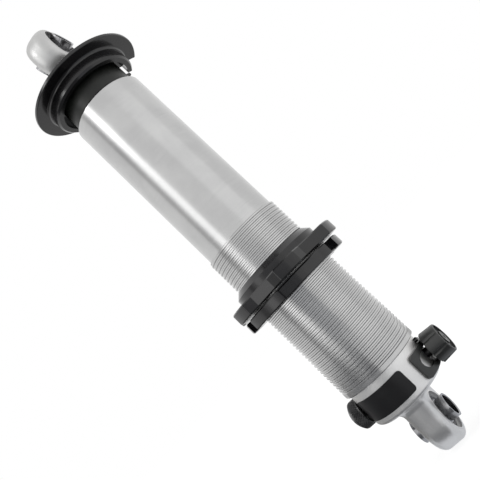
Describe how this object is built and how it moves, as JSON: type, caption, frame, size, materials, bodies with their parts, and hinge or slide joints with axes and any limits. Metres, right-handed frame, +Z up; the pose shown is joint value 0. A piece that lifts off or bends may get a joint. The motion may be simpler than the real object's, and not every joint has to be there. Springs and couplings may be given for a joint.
{
  "type": "coilover shock",
  "caption": "Threaded-body coilover damper without its spring: slotted spring cap, seat and lock nuts, side adjuster knobs and a spherical bearing in each eye.",
  "frame": {"origin": "centre of the lower eye's bore", "axes": "+Z up the damper to the rod end, +X along the lower bolt towards the fluted knob, -Y towards the blank plate on the base"},
  "size_m": [0.0848, 0.083, 0.3638],
  "materials": {
    "cast_aluminium": "bead-blasted satin",
    "satin_aluminium": "satin turned",
    "ground_steel": "ground and hard chromed",
    "bright_steel": "machined",
    "bearing_steel": "polished",
    "bronze": "sintered bronze",
    "seal_rubber": "matt",
    "piston_band": "filled plastic",
    "bump_rubber": "satin",
    "black_anodised": "black anodised",
    "black_plastic": "satin moulded",
    "black_knurled": "black, knurled",
    "black_plate": "satin film"
  },
  "bodies": {
    "housing": {"base_mount": "cast_aluminium", "body_tube": "satin_aluminium", "inner_cylinder": "ground_steel", "foot_valve_body": "satin_aluminium", "foot_valve_shims": "bright_steel", "foot_valve_bolt": "bright_steel", "foot_valve_nut": "bright_steel", "base_oring": "seal_rubber", "guide_oring": "seal_rubber", "rod_guide": "satin_aluminium", "guide_bush": "bronze", "rod_seal": "seal_rubber", "rod_wiper": "seal_rubber", "lower_race": "bearing_steel", "lower_circlips": "bearing_steel", "fluted_gland": "bright_steel", "knurled_gland": "bright_steel", "fluted_oring": "seal_rubber", "knurled_oring": "seal_rubber", "knob_saddle": "black_plastic", "saddle_dowel": "bright_steel", "blank_plate": "black_plate"},
    "rod": {"piston_rod": "ground_steel", "piston": "satin_aluminium", "piston_band": "piston_band", "compression_shims": "bright_steel", "rebound_shims": "bright_steel", "piston_nut": "bright_steel", "stop_washer": "bright_steel", "rebound_bumper": "seal_rubber", "bump_stop": "bump_rubber", "upper_eye": "cast_aluminium", "upper_race": "bearing_steel", "upper_circlips": "bearing_steel"},
    "spring_cap": {"spring_cap": "black_anodised"},
    "seat_nut": {"seat_nut": "black_anodised"},
    "lock_nut": {"lock_nut": "black_anodised"},
    "fluted_knob": {"fluted_knob": "black_plastic", "fluted_shaft": "bright_steel", "knob_screw": "bright_steel"},
    "fluted_needle": {"fluted_needle": "bright_steel"},
    "knurled_knob": {"knurled_knob": "black_knurled", "knurled_shaft": "bright_steel", "set_screw": "bright_steel"},
    "knurled_needle": {"knurled_needle": "bright_steel"},
    "lower_ball": {"lower_ball": "bearing_steel"},
    "lower_spacers": {"lower_spacers": "bearing_steel"},
    "upper_ball": {"upper_ball": "bearing_steel"},
    "upper_spacers": {"upper_spacers": "bearing_steel"}
  },
  "joints": [
    {"name": "rod_slide", "type": "slide", "parent": "housing", "child": "rod", "axis": [0, 0, 1], "range_m": [0, 0.14]},
    {"name": "spring_cap_turn", "type": "hinge", "parent": "rod", "child": "spring_cap", "pos_m": [0, 0, 0.2957], "axis": [0, 0, 1], "continuous": true},
    {"name": "seat_nut_travel", "type": "slide", "parent": "housing", "child": "seat_nut", "axis": [0, 0, 1], "range_m": [0, 0.024]},
    {"name": "lock_nut_travel", "type": "slide", "parent": "housing", "child": "lock_nut", "axis": [0, 0, 1], "range_m": [-0.06, 0]},
    {"name": "fluted_knob_turn", "type": "hinge", "parent": "housing", "child": "fluted_knob", "pos_m": [0.03, 0, 0.0295], "axis": [1, 0, 0], "range_deg": [0, 540]},
    {"name": "fluted_needle_slide", "type": "slide", "parent": "housing", "child": "fluted_needle", "axis": [1, 0, 0], "range_m": [0, 0.0015]},
    {"name": "knurled_knob_turn", "type": "hinge", "parent": "housing", "child": "knurled_knob", "pos_m": [-0.03, 0, 0.0295], "axis": [-1, 0, 0], "range_deg": [0, 540]},
    {"name": "knurled_needle_slide", "type": "slide", "parent": "housing", "child": "knurled_needle", "axis": [-1, 0, 0], "range_m": [0, 0.0015]},
    {"name": "lower_ball_tilt", "type": "hinge", "parent": "housing", "child": "lower_ball", "pos_m": [0, 0, 0], "axis": [0, 1, 0], "range_deg": [-11, 11]},
    {"name": "lower_bolt_turn", "type": "hinge", "parent": "lower_ball", "child": "lower_spacers", "pos_m": [0, 0, 0], "axis": [1, 0, 0], "continuous": true},
    {"name": "upper_ball_tilt", "type": "hinge", "parent": "rod", "child": "upper_ball", "pos_m": [0, 0, 0.3288], "axis": [0, 1, 0], "range_deg": [0, 22]},
    {"name": "upper_bolt_turn", "type": "hinge", "parent": "upper_ball", "child": "upper_spacers", "pos_m": [0, 0, 0.3288], "axis": [0.9816, 0, 0.1908], "continuous": true}
  ],
  "couplings": [
    {"joint": "fluted_needle_slide", "follows": "fluted_knob_turn", "m_per_rad": 0.00015915},
    {"joint": "knurled_needle_slide", "follows": "knurled_knob_turn", "m_per_rad": 0.00015915}
  ]
}
